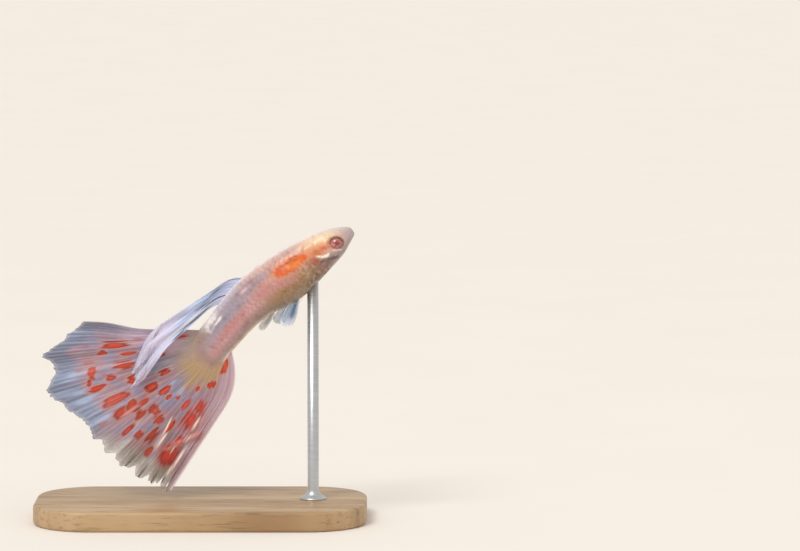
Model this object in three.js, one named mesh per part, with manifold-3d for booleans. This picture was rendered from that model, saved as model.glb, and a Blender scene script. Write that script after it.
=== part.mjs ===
// A life-size museum model of a male fancy guppy with a wide spotted delta tail, swimming nose-up on a
// plain display stand. Millimetres. +X points towards the head, +Z is up, the fish's right side faces
// -Y, and the origin is the centre of the base's underside.

import * as THREE from "three";
import { mergeVertices } from "three/addons/utils/BufferGeometryUtils.js";
import Module from "manifold-3d";

const wasm = await Module();
wasm.setup();

// The gap that neighbouring pieces keep.
const gap = 0.3;

// The midline of the body, followed from the tip of the snout towards the tail.
const snoutTip = { x: 23.1, y: 0.4, z: 43.4 };
const pitchAtHead = 29.5;
const pitchAtTail = 51;
const pitchLength = 29;
const sideBend = 1.2;
const bodyLength = 27;
const roundedEnd = 4.4;

// Where the body is divided.
const headEnd = 8.9;
const torsoEnd = 18.2;

// Sections of the body: distance from the snout, height above the midline, depth below it, half width.
const sections = [
  [0.0, 0.5, 0.32, 0.4],
  [0.5, 1.08, 0.74, 0.92],
  [1.5, 1.7, 1.34, 1.35],
  [3.0, 2.28, 2.1, 1.82],
  [6.0, 2.95, 3.02, 2.25],
  [9.0, 3.35, 3.72, 2.42],
  [12.0, 3.6, 4.1, 2.4],
  [15.0, 3.9, 3.75, 2.15],
  [18.0, 4.05, 2.9, 1.75],
  [21.0, 3.9, 2.55, 1.35],
  [24.0, 3.6, 2.45, 1.0],
  [27.0, 3.5, 2.35, 0.7],
];

// Head details.
const eye = { s: 3.05, rise: 0.02, radius: 1.06, flatness: 0.72, proud: 0.3 };
const orbitRim = { height: 0.12, width: 0.3, roundness: 1.9 };
const gillCover = {
  front: 4.6, edge: 7.3, belly: 1.0, height: 0.24, centre: 100, spread: 46,
  top: 38, topEase: 25, bottom: 172, bottomEase: 20, drop: 0.12,
};
const mouth = { depth: 1.3, slot: 0.16, tilt: 38, width: 4, rise: 0.35 };
const lips = { swell: 0.13, s: 0.42, width: 0.3 };
const nostril = { s: 1.55, angle: 42, radius: 0.2 };

// The caudal fin: a fan of rays, listed from its upper edge (u = 0) to its lower edge (u = 1).
const caudal = {
  rays: 17,
  rows: 12,
  membrane: 0.5,
  ridge: 0.16,
  root: { s: 27.3, back: 3.0, up: 2.9, down: 2.4, from: -112, to: 116 },
  leaves: [[0, -3], [0.25, 14], [0.5, 40], [0.75, 72], [1, 104]],
  arrives: [[0, -4], [0.12, 5], [0.3, 17], [0.5, 38], [0.75, 55], [1, 57]],
  reach: [[0, 18.6], [0.12, 23.2], [0.3, 22.2], [0.42, 20.0], [0.6, 19.6], [0.8, 21.4], [1, 24.4]],
  turn: 0.42,
  wave: { height: 2.0, count: 1.4, phase: 0.15 },
  flutter: { height: 0.4, count: 6.5 },
  sideBend: 0.7,
  ragged: 0.035,
  unevenness: 5.3,
};

// The dorsal fin: a long pennant that trails past the near side of the tail.
const dorsal = {
  rays: 6,
  rows: 14,
  membrane: 0.5,
  ridge: 0.14,
  front: 16.5,
  back: 21.4,
  sunk: 0.7,
  leaves: [[0, -8], [0.5, 12], [1, 26]],
  arrives: [[0, 37.5], [1, 37.5]],
  droop: 44,
  reach: [[0, 25.4], [0.35, 23.6], [0.65, 20.2], [1, 15.4]],
  turn: 0.22,
  clear: 2.3,
  clearBy: 0.42,
  sweep: 1.6,
};

// Where along its length the dorsal fin turns down, and over how much of it.
const droopFrom = 0.7;
const droopOver = 0.14;

// The smaller fins, each with its root on the body and its tip direction.
// The left pelvic fin trails the right one by a little.
const pelvic = { s: 12.7, angle: 166, chord: 1.5, length: 4.3, spread: 0.8, pitch: 69, splay: 0.2, trail: 0.6 };
const anal = { s: 16.6, angle: 180, chord: 0.9, length: 3.5, spread: 0.5, pitch: 56, splay: 0, trail: 0 };
const pectoral = { s: 9.9, angle: 118, chord: 1.5, length: 4, spread: 1.3, pitch: 62, splay: 0.5, trail: 0 };
const smallFin = {
  membrane: 0.5, ridge: 0.1, rays: 4, rows: 6, sunk: 0.6,
  fan: 34, longest: 0.42, rounding: 0.9, cupping: 0.12, trailPitch: 20,
};

// The stand.
const base = { length: 50, width: 26, height: 3, corner: 9, bevel: 0.5 };
const rod = { s: 9.9, radius: 0.85, footRadius: 2.0, footHeight: 0.9 };

// Shared arithmetic.

const rad = THREE.MathUtils.degToRad;
const ease = (t) => THREE.MathUtils.smoothstep(t, 0, 1);
const bump = (distance, width) => Math.exp(-((distance / width) ** 2));

// A smooth value read from a short list of rows whose first number is the place.
function readAlong(rows, place, column = 1) {
  let i = 0;
  while (i < rows.length - 2 && place > rows[i + 1][0]) i++;
  const a = rows[i];
  const b = rows[i + 1];
  const before = rows[Math.max(i - 1, 0)];
  const after = rows[Math.min(i + 2, rows.length - 1)];
  const span = b[0] - a[0];
  const t = THREE.MathUtils.clamp((place - a[0]) / span, 0, 1);
  const slopeA = ((b[column] - before[column]) / (b[0] - before[0])) * span;
  const slopeB = ((after[column] - a[column]) / (after[0] - a[0])) * span;
  const t2 = t * t;
  const t3 = t2 * t;
  return (
    (2 * t3 - 3 * t2 + 1) * a[column] +
    (t3 - 2 * t2 + t) * slopeA +
    (3 * t2 - 2 * t3) * b[column] +
    (t3 - t2) * slopeB
  );
}

// Solids.

// A closed solid from points and triangles, turned the right way round.
function solidFrom(points, triangles) {
  const geometry = new THREE.BufferGeometry();
  const numbers = points.flatMap((p) => [p.x, p.y, p.z]);
  geometry.setAttribute("position", new THREE.Float32BufferAttribute(numbers, 3));
  geometry.setIndex(triangles.flat());
  return solidOf(geometry);
}

function solidOf(geometry) {
  const plain = geometry.clone();
  plain.deleteAttribute("normal");
  plain.deleteAttribute("uv");
  const merged = mergeVertices(plain, 1e-4);
  const vertProperties = merged.attributes.position.array;
  const make = (triVerts) => new wasm.Manifold(new wasm.Mesh({ numProp: 3, vertProperties, triVerts }));
  const triVerts = new Uint32Array(merged.index.array);
  const solid = make(triVerts);
  return solid.volume() > 0 ? solid : make(triVerts.reverse());
}

// The largest closed surface of a solid: loose scraps of a cut are dropped.
function largest(solid) {
  return solid.decompose().sort((a, b) => b.volume() - a.volume())[0];
}

function meshOf(name, solid, material) {
  const { vertProperties, triVerts } = largest(solid).getMesh();
  const geometry = new THREE.BufferGeometry();
  geometry.setAttribute("position", new THREE.BufferAttribute(vertProperties, 3));
  geometry.setIndex(new THREE.BufferAttribute(triVerts, 1));
  geometry.computeVertexNormals();
  const mesh = new THREE.Mesh(geometry, material);
  mesh.name = name;
  return mesh;
}

// Rings of equal length joined into a closed skin, with a point at the middle of each end.
function loft(rings) {
  const around = rings[0].length;
  const points = rings.flat();
  const triangles = [];
  for (let i = 0; i + 1 < rings.length; i++) {
    for (let j = 0; j < around; j++) {
      const a = i * around + j;
      const b = i * around + ((j + 1) % around);
      triangles.push([a, b, b + around], [a, b + around, a + around]);
    }
  }
  for (const [ring, turned] of [[0, true], [rings.length - 1, false]]) {
    const middle = points.length;
    points.push(rings[ring].reduce((sum, p) => sum.add(p), new THREE.Vector3()).divideScalar(around));
    for (let j = 0; j < around; j++) {
      const a = ring * around + j;
      const b = ring * around + ((j + 1) % around);
      triangles.push(turned ? [b, a, middle] : [a, b, middle]);
    }
  }
  return solidFrom(points, triangles);
}

// A sheet of even triangles through place(u, v), thickened by half(u, v) to each side.
function sheet(columns, rows, place, half) {
  const step = 1e-3;
  const front = [];
  const back = [];
  for (const u of columns) {
    for (const v of rows) {
      const point = place(u, v);
      const acrossU = place(u + step, v).sub(place(u - step, v));
      const acrossV = place(u, v + step).sub(place(u, v - step));
      const normal = acrossU.cross(acrossV).normalize();
      front.push(point.clone().addScaledVector(normal, half(u, v)));
      back.push(point.clone().addScaledVector(normal, -half(u, v)));
    }
  }
  const tall = rows.length;
  const wide = columns.length;
  const other = front.length;
  const triangles = [];
  for (let i = 0; i + 1 < wide; i++) {
    for (let j = 0; j + 1 < tall; j++) {
      const a = i * tall + j;
      const [b, c, d] = [a + tall, a + tall + 1, a + 1];
      triangles.push([a, b, c], [a, c, d]);
      triangles.push([other + a, other + c, other + b], [other + a, other + d, other + c]);
    }
  }
  const rim = [];
  for (let i = 0; i < wide; i++) rim.push(i * tall);
  for (let j = 1; j < tall; j++) rim.push((wide - 1) * tall + j);
  for (let i = wide - 2; i >= 0; i--) rim.push(i * tall + tall - 1);
  for (let j = tall - 2; j > 0; j--) rim.push(j);
  rim.forEach((a, k) => {
    const b = rim[(k + 1) % rim.length];
    triangles.push([a, other + b, b], [a, other + a, other + b]);
  });
  return solidFrom([...front, ...back], triangles);
}

const evenSteps = (count) => Array.from({ length: count + 1 }, (_, i) => i / count);

// Columns across a fin: a valley between two rays, then both shoulders of each ray.
function rayColumns(rays) {
  const shoulder = 0.17;
  const columns = [0];
  for (let i = 0; i < rays; i++) {
    columns.push((i + 0.5 - shoulder) / rays, (i + 0.5 + shoulder) / rays, (i + 1) / rays);
  }
  return columns;
}

// 1 on a ray and 0 midway between two rays.
const onRay = (u, rays) => ease(1.3 - 2.6 * Math.abs(((((u * rays) % 1) + 1) % 1) - 0.5));

// The body.

const pitchAt = (s) => rad(pitchAtHead + (pitchAtTail - pitchAtHead) * ease(s / pitchLength));
const sideAt = (s) => snoutTip.y - sideBend * (s / bodyLength) ** 2;

function midline(s) {
  const steps = 48;
  const point = new THREE.Vector3(snoutTip.x, sideAt(s), snoutTip.z);
  for (let i = 0; i < steps; i++) {
    const pitch = pitchAt(((i + 0.5) / steps) * s);
    point.x -= (Math.cos(pitch) * s) / steps;
    point.z -= (Math.sin(pitch) * s) / steps;
  }
  return point;
}

// Directions at a place on the midline: towards the back, up to the dorsal side, and out to the fish's left.
function directionsAt(s) {
  const pitch = pitchAt(s);
  const up = new THREE.Vector3(-Math.sin(pitch), 0, Math.cos(pitch));
  const back = new THREE.Vector3(-Math.cos(pitch), (-2 * sideBend * s) / bodyLength ** 2, -Math.sin(pitch));
  back.normalize();
  return { up, back, left: back.clone().cross(up) };
}

function sectionAt(s) {
  const last = sections[sections.length - 1][0];
  const within = Math.min(s, last);
  const past = THREE.MathUtils.clamp((s - last) / roundedEnd, 0, 1);
  const taper = Math.sqrt(Math.max(1 - past * past, 0));
  return {
    up: readAlong(sections, within, 1) * taper,
    down: readAlong(sections, within, 2) * taper,
    half: readAlong(sections, within, 3) * (0.35 + 0.65 * taper),
  };
}

// A point on the skin. Angle 0 is the back, 90 the fish's left flank and 180 the belly.
// A grow above 0 moves it outwards.
function skinPoint(s, angle, grow = 0) {
  const { up, left } = directionsAt(s);
  const size = sectionAt(s);
  const rise = Math.cos(rad(angle));
  const side = Math.sin(rad(angle));
  const flank = Math.sign(side) * Math.abs(side) ** 0.88;
  return midline(s)
    .addScaledVector(up, rise * ((rise > 0 ? size.up : size.down) + grow))
    .addScaledVector(left, flank * (size.half + grow));
}

function bodyPiece(from, to, steps, around, grow = 0) {
  const places = evenSteps(steps).map((t) => from + (to - from) * t);
  const angles = evenSteps(around).slice(1).map((t) => 360 * t);
  return loft(places.map((s) => angles.map((angle) => skinPoint(s, angle, grow))));
}

// The body, a little larger all round, that each fin's root is cut to.
const clearance = bodyPiece(0.3, bodyLength + roundedEnd - 0.02, 60, 36, gap);

// The head, with its orbits, gill covers, lips, mouth and nostrils.

// How far from the back an angle lies, from 0 at the back to 180 at the belly, on either side.
const fromBack = (angle) => Math.min(angle, 360 - angle);

function headRelief(s, angle, edge) {
  const { up } = sectionAt(eye.s);
  const eyeAngle = THREE.MathUtils.radToDeg(Math.acos(eye.rise / up));
  const fromEye = Math.hypot(s - eye.s, rad(fromBack(angle) - eyeAngle) * orbitRim.roundness);
  const orbit = orbitRim.height * bump(fromEye - eye.radius, orbitRim.width);
  const { front, height, top, topEase, bottom, bottomEase } = gillCover;
  const onCover = ease((fromBack(angle) - top) / topEase) * ease((bottom - fromBack(angle)) / bottomEase);
  const cover = s < edge ? height * onCover * ease((s - front) / (edge - front)) : 0;
  const lip = lips.swell * bump(s - lips.s, lips.width);
  return orbit + cover + lip;
}

function makeHead() {
  const around = 40;
  const forward = [0, 0.12, 0.3, 0.5, 0.72, 1.0, 1.35, 1.7, 2.05, 2.4, 2.75, 3.1, 3.45, 3.8, 4.2, 4.7, 5.3];
  const coverSteps = [0.3, 0.6, 0.85, 1];
  const angles = evenSteps(around).slice(1).map((t) => 360 * t);
  const { edge: plainEdge, belly, centre, spread, drop } = gillCover;
  const edgeAt = (angle) => plainEdge + belly * bump(fromBack(angle) - centre, spread);
  const ring = (placeAt, isCover) =>
    angles.map((angle) => {
      const edge = edgeAt(angle);
      const s = placeAt(edge);
      return skinPoint(s, angle, headRelief(s, angle, isCover ? edge + 0.01 : edge - 0.01));
    });
  const front = forward[forward.length - 1];
  const rings = [
    ...forward.map((s) => ring(() => s, true)),
    ...coverSteps.map((t) => ring((edge) => front + (edge - front) * t, true)),
    ring((edge) => edge + drop, false),
    ring((edge) => (edge + drop + headEnd) / 2, false),
    ring(() => headEnd, false),
  ];
  let head = loft(rings);
  for (const side of [-1, 1]) {
    head = head.subtract(eyeSolid(side, gap));
    const pit = new THREE.SphereGeometry(nostril.radius, 10, 8);
    const pitAt = skinPoint(nostril.s, side * nostril.angle);
    head = head.subtract(solidOf(pit.translate(pitAt.x, pitAt.y, pitAt.z)));
  }
  return head.subtract(mouthSlot());
}

// The mouth: a thin wedge that runs back and down from the tip and leaves an upper and a lower lip.
function mouthSlot() {
  const { up } = directionsAt(0);
  const slot = new THREE.BoxGeometry(mouth.depth * 2, mouth.width, mouth.slot);
  slot.rotateY(rad(-pitchAtHead - mouth.tilt));
  const place = midline(0).addScaledVector(up, mouth.rise);
  return solidOf(slot.translate(place.x, place.y, place.z));
}

function eyeSolid(side, grow = 0) {
  const { up, left } = directionsAt(eye.s);
  const half = sectionAt(eye.s).half;
  const deep = eye.radius * eye.flatness;
  const centre = midline(eye.s)
    .addScaledVector(up, eye.rise)
    .addScaledVector(left, side * (half + eye.proud - deep));
  const ball = new THREE.SphereGeometry(1, 18, 11);
  ball.scale(eye.radius + grow, deep + grow, eye.radius + grow);
  return solidOf(ball.translate(centre.x, centre.y, centre.z));
}

// The fins.

// A ray's path in side view: it leaves its root in one direction and turns, over part of its length,
// to another. A fin that droops turns down once more near its tip.
function rayPath(root, [leaves, arrives, length], turn, v, droop = 0) {
  const steps = 24;
  const point = root.clone();
  for (let i = 0; i < steps; i++) {
    const at = ((i + 0.5) / steps) * v;
    const drooped = droop * ease((at - droopFrom) / droopOver);
    const pitch = rad(leaves + (arrives - leaves) * ease(at / turn) + drooped);
    point.x -= (Math.cos(pitch) * length * v) / steps;
    point.z -= (Math.sin(pitch) * length * v) / steps;
  }
  return point;
}

const rayRows = (fin, u) => [fin.leaves, fin.arrives, fin.reach].map((rows) => readAlong(rows, u));

function caudalPoint(u, v) {
  const { root, wave, flutter } = caudal;
  const { up, back } = directionsAt(bodyLength);
  const turned = rad(root.from + (root.to - root.from) * u);
  const start = midline(root.s)
    .addScaledVector(back, root.back * Math.cos(turned))
    .addScaledVector(up, -Math.sin(turned) * (turned < 0 ? root.up : root.down));
  const ray = Math.floor(u * caudal.rays);
  const uneven = Math.sin(ray * caudal.unevenness) + onRay(u, caudal.rays) - 1;
  const [leaves, arrives, reach] = rayRows(caudal, u);
  const length = reach * (1 + caudal.ragged * uneven);
  const point = rayPath(start, [leaves, arrives, length], caudal.turn, v);
  const out = Math.max(v, 0);
  point.y += back.y * length * v * (1 - caudal.sideBend * v);
  point.y += wave.height * out ** 1.5 * Math.sin(2 * Math.PI * wave.count * u + wave.phase);
  point.y += flutter.height * out ** 3 * Math.sin(2 * Math.PI * flutter.count * u);
  return point;
}

function dorsalPoint(u, v) {
  const s = dorsal.front + (dorsal.back - dorsal.front) * u;
  const start = skinPoint(s, 0, -dorsal.sunk);
  const point = rayPath(start, rayRows(dorsal, u), dorsal.turn, v, dorsal.droop);
  point.y -= dorsal.clear * ease(v / dorsal.clearBy) + dorsal.sweep * Math.max(v - dorsal.clearBy, 0);
  return point;
}

// A small fin: its root runs along the body, and its rays spread from it, pitched down and splayed sideways.
function smallFinPoint(fin, side, u, v) {
  const { sunk, fan, longest, rounding, cupping, trailPitch } = smallFin;
  const later = side > 0 ? fin.trail : 0;
  const start = skinPoint(fin.s + later + (u - 0.5) * fin.chord, side * fin.angle, -sunk);
  const pitch = rad(fin.pitch - trailPitch * later + (0.5 - u) * fan * fin.spread);
  const length = (fin.length + sunk) * (1 - rounding * (u - longest) ** 2);
  start.x -= Math.cos(pitch) * length * v;
  start.z -= Math.sin(pitch) * length * v;
  start.y += side * (fin.splay * length * v + cupping * Math.sin(Math.PI * v));
  return start;
}

// Half the thickness of a fin: membrane, with the rays raised in it, thinning out near the margin.
const margin = { from: 0.86, over: 0.14, thinning: 0.55, rayThinning: 0.6 };

function finHalf(fin) {
  return (u, v) => {
    const thin = 1 - margin.thinning * ease((v - margin.from) / margin.over);
    return (fin.membrane / 2) * thin + fin.ridge * onRay(u, fin.rays) * (1 - margin.rayThinning * v);
  };
}

function makeFin(fin, place) {
  return sheet(rayColumns(fin.rays), evenSteps(fin.rows), place, finHalf(fin)).subtract(clearance);
}

// The stand.

function makeBase() {
  const [x, y] = [base.length / 2 - base.bevel, base.width / 2 - base.bevel];
  const r = base.corner;
  const outline = new THREE.Shape();
  outline.moveTo(r - x, -y).lineTo(x - r, -y).absarc(x - r, r - y, r, -Math.PI / 2, 0, false);
  outline.lineTo(x, y - r).absarc(x - r, y - r, r, 0, Math.PI / 2, false);
  outline.lineTo(r - x, y).absarc(r - x, y - r, r, Math.PI / 2, Math.PI, false);
  outline.lineTo(-x, r - y).absarc(r - x, r - y, r, Math.PI, 1.5 * Math.PI, false);
  const plate = new THREE.ExtrudeGeometry(outline, {
    depth: base.height - 2 * base.bevel,
    bevelThickness: base.bevel,
    bevelSize: base.bevel,
    bevelSegments: 2,
    curveSegments: 6,
  });
  return solidOf(plate.translate(0, 0, base.bevel));
}

function makeRod() {
  const chest = skinPoint(rod.s, 180);
  const foot = base.height + gap;
  const { radius, footRadius, footHeight } = rod;
  const profile = [
    [0, 0], [footRadius, 0], [footRadius, footHeight * 0.4], [radius * 1.3, footHeight],
    [radius, footHeight * 1.7], [radius, chest.z + 1.5 - foot], [0, chest.z + 1.5 - foot],
  ];
  const turned = new THREE.LatheGeometry(profile.map(([x, y]) => new THREE.Vector2(x, y)), 24);
  turned.rotateX(Math.PI / 2).translate(chest.x, chest.y, foot);
  return solidOf(turned).subtract(clearance);
}

// Finishes.

function finish(color, roughness, metalness = 0) {
  return new THREE.MeshStandardMaterial({ color, roughness, metalness });
}

const skin = finish(0xd0a79c, 0.4);
const tailSkin = finish(0xb9a2a5, 0.45);
const spottedFin = finish(0xb48a8f, 0.45);
const paleFin = finish(0xb9c0da, 0.4);
const eyeball = finish(0xbb6760, 0.15);
const wood = finish(0xb79a74, 0.5);
const steel = finish(0xb8bbc0, 0.3, 1);

const guppy = new THREE.Group();
guppy.add(
  meshOf("head", makeHead(), skin),
  meshOf("torso", bodyPiece(headEnd + gap, torsoEnd, 12, 32), skin),
  meshOf("tail_stalk", bodyPiece(torsoEnd + gap, bodyLength + roundedEnd - 0.02, 16, 32), tailSkin),
  meshOf("eye_left", eyeSolid(1), eyeball),
  meshOf("eye_right", eyeSolid(-1), eyeball),
  meshOf("caudal_fin", makeFin(caudal, caudalPoint), spottedFin),
  meshOf("dorsal_fin", makeFin(dorsal, dorsalPoint), paleFin),
  meshOf("anal_fin", makeFin({ ...smallFin, ...anal }, (u, v) => smallFinPoint(anal, 1, u, v)), paleFin),
);
for (const [sideName, side] of [["left", 1], ["right", -1]]) {
  for (const [finName, fin] of [["pelvic", pelvic], ["pectoral", pectoral]]) {
    const solid = makeFin({ ...smallFin, ...fin }, (u, v) => smallFinPoint(fin, side, u, v));
    guppy.add(meshOf(`${finName}_fin_${sideName}`, solid, paleFin));
  }
}

const stand = new THREE.Group();
stand.add(meshOf("stand_base", makeBase(), wood), meshOf("stand_rod", makeRod(), steel));

const model = new THREE.Group();
model.add(guppy, stand);

export default model;
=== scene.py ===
# A life-size museum model of a male fancy guppy on a plain display stand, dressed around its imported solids.
# Lengths are worked out in millimetres, and each finished mesh is brought to metres.
import math
from functools import lru_cache

import bmesh
import bpy
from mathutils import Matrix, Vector, noise


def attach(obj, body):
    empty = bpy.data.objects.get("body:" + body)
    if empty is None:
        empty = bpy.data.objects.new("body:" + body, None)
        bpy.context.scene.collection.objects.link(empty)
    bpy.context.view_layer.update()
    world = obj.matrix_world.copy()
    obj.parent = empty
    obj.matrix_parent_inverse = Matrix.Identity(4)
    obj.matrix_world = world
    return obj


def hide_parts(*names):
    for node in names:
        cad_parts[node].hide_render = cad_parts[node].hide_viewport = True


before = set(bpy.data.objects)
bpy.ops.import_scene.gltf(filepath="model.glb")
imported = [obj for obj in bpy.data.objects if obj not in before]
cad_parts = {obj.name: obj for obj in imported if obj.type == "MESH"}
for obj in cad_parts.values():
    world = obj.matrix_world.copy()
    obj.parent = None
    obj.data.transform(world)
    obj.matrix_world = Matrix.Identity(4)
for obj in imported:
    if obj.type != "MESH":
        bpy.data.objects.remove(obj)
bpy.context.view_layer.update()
mm = 0.001
print("frame loaded")


# shared arithmetic

def clamp(value, low=0.0, high=1.0):
    return max(low, min(high, value))


def ease(value):
    t = clamp(value)
    return t * t * (3 - 2 * t)


def between(value, low, high):
    return ease((value - low) / (high - low))


def until(value, low, high):
    return 1 - between(value, low, high)


def bump(distance, width):
    return math.exp(-((distance / width) ** 2))


def blend(a, b, share):
    return a + (b - a) * share


# which row of a list a place falls after, where each row's first entry is its own place
def rowBefore(rows, place):
    i = 0
    while i < len(rows) - 2 and place > rows[i + 1][0]:
        i += 1
    return i


# a smooth value read from such a list of rows
def readAlong(rows, place, column=1):
    i = rowBefore(rows, place)
    a, b = rows[i], rows[i + 1]
    before, after = rows[max(i - 1, 0)], rows[min(i + 2, len(rows) - 1)]
    span = b[0] - a[0]
    t = clamp((place - a[0]) / span)
    slopeA = (b[column] - before[column]) / (b[0] - before[0]) * span
    slopeB = (after[column] - a[column]) / (after[0] - a[0]) * span
    t2, t3 = t * t, t * t * t
    near = (2 * t3 - 3 * t2 + 1) * a[column] + (t3 - 2 * t2 + t) * slopeA
    return near + (3 * t2 - 2 * t3) * b[column] + (t3 - t2) * slopeB


# 1 along a stretch, fading in before it and out after it
def within(value, start, full, still, end):
    return between(value, start, full) * until(value, still, end)


# a value that wanders smoothly between -1 and 1, over a patch of noise of its own
def wander(x, y, patch):
    return noise.noise(Vector((x, y, patch)))


# how far an offset goes along a turned direction, and across it
def turnedOffset(dx, dy, turn):
    return dx * math.cos(turn) + dy * math.sin(turn), -dx * math.sin(turn) + dy * math.cos(turn)


# colours

@lru_cache(maxsize=None)
def colour(text):
    parts = [int(text[i:i + 2], 16) / 255 for i in (1, 3, 5)]
    return Vector([((c + 0.055) / 1.055) ** 2.4 if c > 0.04045 else c / 12.92 for c in parts])


# one colour moved some of the way to another, each written out or already worked out
def tint(paint, other, share):
    start = colour(paint) if isinstance(paint, str) else paint
    end = colour(other) if isinstance(other, str) else other
    return start.lerp(end, share)


markLook = {
    "squareness": 2.4,
    "farthest": 1.6,
    "haloShare": 0.6,
    "haloRange": (-0.9, 0.1),
    "edgeShare": 0.8,
    "edgeRange": (0.12, 0.55),
}


# soft oval marks of one colour: how strong, soft and ragged they are, then a row for each with its place,
# length, width and turn in degrees; a halo lies round every mark and an edge runs along its rim
def marks(tone, strength, soft, ragged, places, halo=None, edge=None):
    look = {"tone": tone, "strength": strength, "soft": soft, "ragged": ragged}
    return look | {"places": places, "halo": halo, "edge": edge}


# the marks laid in turn over a colour at one place
def layMarks(paint, groups, x, y, lean=0.0, wobble=0.0):
    power = markLook["squareness"]
    for group in groups:
        for row in group["places"]:
            dx, dy = x - row[0], y - row[1]
            halfLong, halfWide = row[2] / 2, row[3] / 2
            reach = (halfLong + halfWide) * markLook["farthest"]
            if abs(dx) > reach or abs(dy) > reach:
                continue
            turn = math.radians(row[4] if len(row) > 4 else 0.0) + lean
            a, b = turnedOffset(dx, dy, turn)
            out = (abs(a / halfLong) ** power + abs(b / halfWide) ** power) ** (1 / power)
            inside = 1 - out + wobble * group["ragged"]
            if group["halo"]:
                halo = markLook["haloShare"] * between(inside, *markLook["haloRange"])
                paint = tint(paint, group["halo"], halo)
            share = between(inside, -group["soft"], group["soft"]) * group["strength"]
            if share > 0:
                paint = tint(paint, group["tone"], share)
                if group["edge"]:
                    rim = markLook["edgeShare"] * share * until(inside, *markLook["edgeRange"])
                    paint = tint(paint, group["edge"], rim)
    return paint


# the body's own shape, close to the solids'

body = {
    "tip": (23.1, 0.4, 43.4),
    "pitchHead": 29.5,
    "pitchTail": 51.0,
    "pitchLength": 29.0,
    "sideBend": 1.2,
    "length": 27.0,
    "roundedEnd": 4.4,
    "flank": 0.88,
    "noseRounding": 0.2,
    "endThinning": (24.5, 30.5, 0.86),
    "endClosing": 0.06,
    "endWidth": 0.35,
    "stopShort": 0.02,
    "around": 176,
    "rings": 300,
    "ringSpread": 0.35,
    # distance from the snout, height above the midline, depth below it, half width
    "sections": [
        (0.0, 0.78, 0.22, 0.4),
        (0.5, 1.16, 0.62, 0.92),
        (1.5, 1.7, 1.24, 1.35),
        (3.0, 2.28, 2.1, 1.82),
        (6.0, 2.95, 3.02, 2.25),
        (9.0, 3.35, 3.72, 2.42),
        (12.0, 3.6, 4.1, 2.4),
        (15.0, 3.9, 3.75, 2.15),
        (18.0, 4.05, 2.9, 1.75),
        (21.0, 3.9, 2.55, 1.35),
        (24.0, 3.6, 2.45, 1.0),
        (27.0, 3.5, 2.35, 0.7),
    ],
}


def pitchAt(s):
    return math.radians(blend(body["pitchHead"], body["pitchTail"], ease(s / body["pitchLength"])))


@lru_cache(maxsize=None)
def midline(s):
    steps = 48
    x, y, z = body["tip"]
    for i in range(steps):
        pitch = pitchAt((i + 0.5) / steps * s)
        x -= math.cos(pitch) * s / steps
        z -= math.sin(pitch) * s / steps
    return Vector((x, y - body["sideBend"] * (s / body["length"]) ** 2, z))


@lru_cache(maxsize=None)
def directionsAt(s):
    pitch = pitchAt(s)
    up = Vector((-math.sin(pitch), 0, math.cos(pitch)))
    sideways = -2 * body["sideBend"] * s / body["length"] ** 2
    back = Vector((-math.cos(pitch), sideways, -math.sin(pitch))).normalized()
    return up, back, back.cross(up)


# height above the midline, depth below it and half width
@lru_cache(maxsize=None)
def sectionAt(s):
    reached = min(s, body["length"])
    past = clamp((s - body["length"]) / body["roundedEnd"])
    taper = math.sqrt(max(1 - past * past, 0))
    nose = math.sqrt(clamp(1 - (1 - s / body["noseRounding"]) ** 2)) if s < body["noseRounding"] else 1.0
    start, end, share = body["endThinning"]
    thinned = min(1.0, (1 - past) / body["endClosing"]) * (1 - share * between(s, start, end))
    rounded = body["endWidth"] + (1 - body["endWidth"]) * taper
    rise, depth, half = (readAlong(body["sections"], reached, column) for column in (1, 2, 3))
    return rise * taper * nose, depth * taper * nose, half * rounded * nose * thinned


def skinPoint(s, angle, grow=0.0):
    up, _, left = directionsAt(s)
    rise, depth, half = sectionAt(s)
    lift, side = math.cos(math.radians(angle)), math.sin(math.radians(angle))
    flank = math.copysign(abs(side) ** body["flank"], side)
    return midline(s) + up * lift * ((rise if lift > 0 else depth) + grow) + left * flank * (half + grow)


# finishing a mesh

def addToScene(name, data):
    item = bpy.data.objects.new(name, data)
    bpy.context.scene.collection.objects.link(item)
    return item


def newPiece(name, bm, material):
    bmesh.ops.scale(bm, vec=(mm, mm, mm), verts=bm.verts)
    bmesh.ops.recalc_face_normals(bm, faces=bm.faces)
    mesh = bpy.data.meshes.new(name)
    bm.to_mesh(mesh)
    bm.free()
    for face in mesh.polygons:
        face.use_smooth = True
    mesh.materials.append(material)
    piece = addToScene(name, mesh)
    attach(piece, "root")
    print(f"{name}: {len(mesh.polygons)} faces")
    return piece


def layersOf(bm, *names):
    return [bm.verts.layers.float.new(name) for name in names]


# material nodes

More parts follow.
